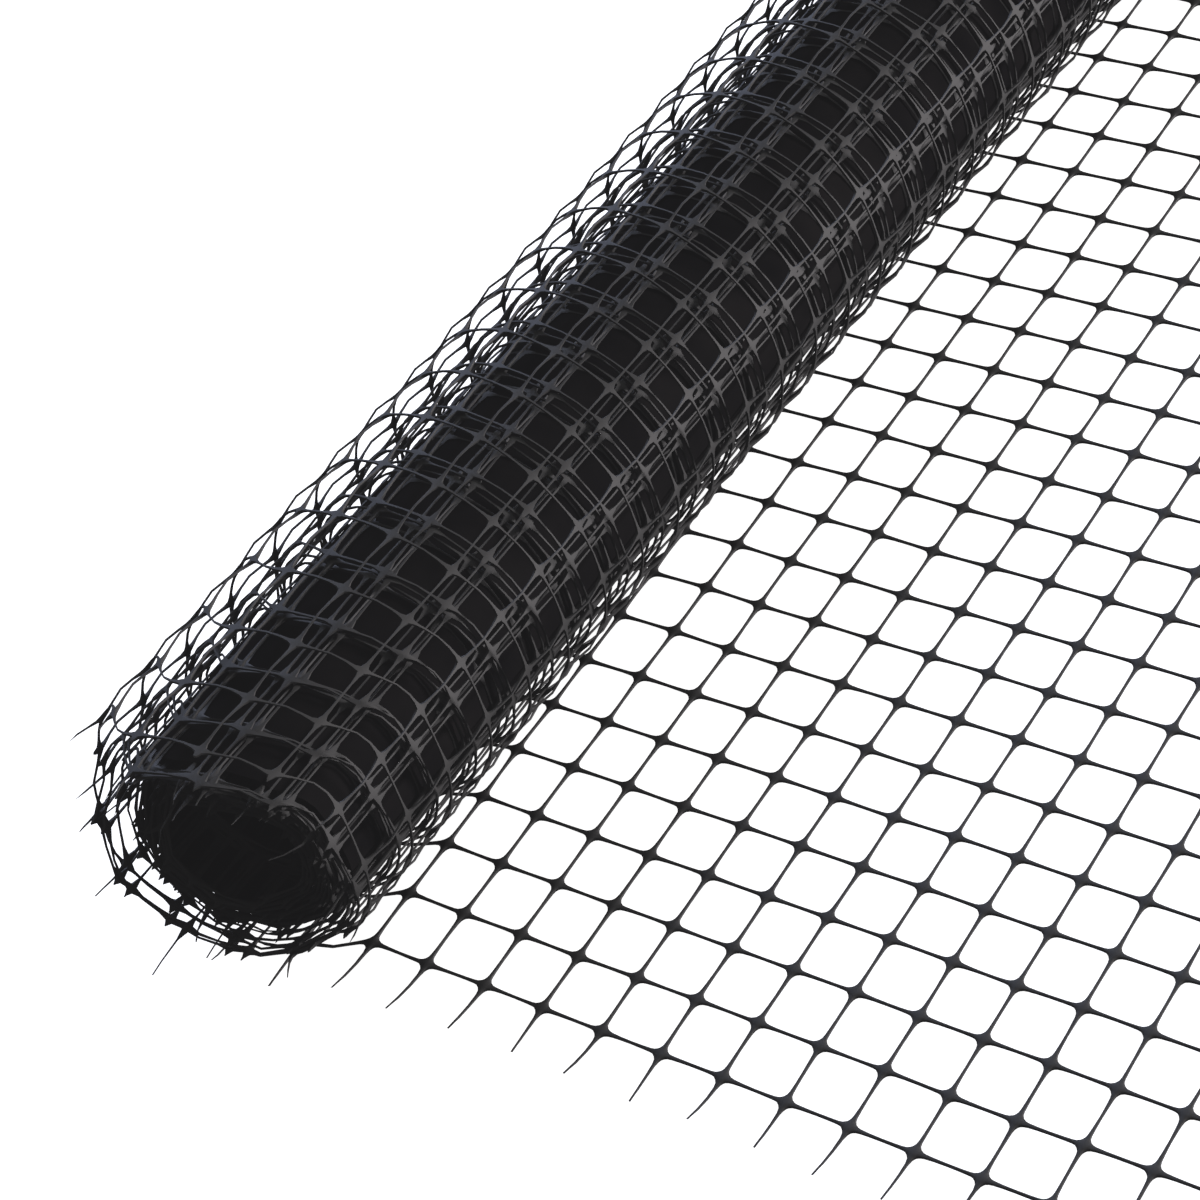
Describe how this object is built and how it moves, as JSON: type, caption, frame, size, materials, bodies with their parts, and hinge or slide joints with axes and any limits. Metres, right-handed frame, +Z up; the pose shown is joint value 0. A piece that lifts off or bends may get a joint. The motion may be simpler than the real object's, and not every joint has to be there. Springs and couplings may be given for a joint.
{
  "type": "bird netting roll",
  "caption": "Roll of black plastic square-mesh bird netting with an open bore, a loose outermost turn and its free end laid flat on the floor.",
  "frame": {"origin": "middle of the footprint of roll and laid end together, on the floor", "axes": "+Y along the roll, away from its near end; +X the way the net unrolls; +Z up"},
  "size_m": [0.3532, 0.6601, 0.0942],
  "materials": {
    "net_plastic": "black stretched plastic with a soft shine"
  },
  "bodies": {
    "root": {"net_roll": "net_plastic", "loose_end": "net_plastic"}
  },
  "joints": []
}
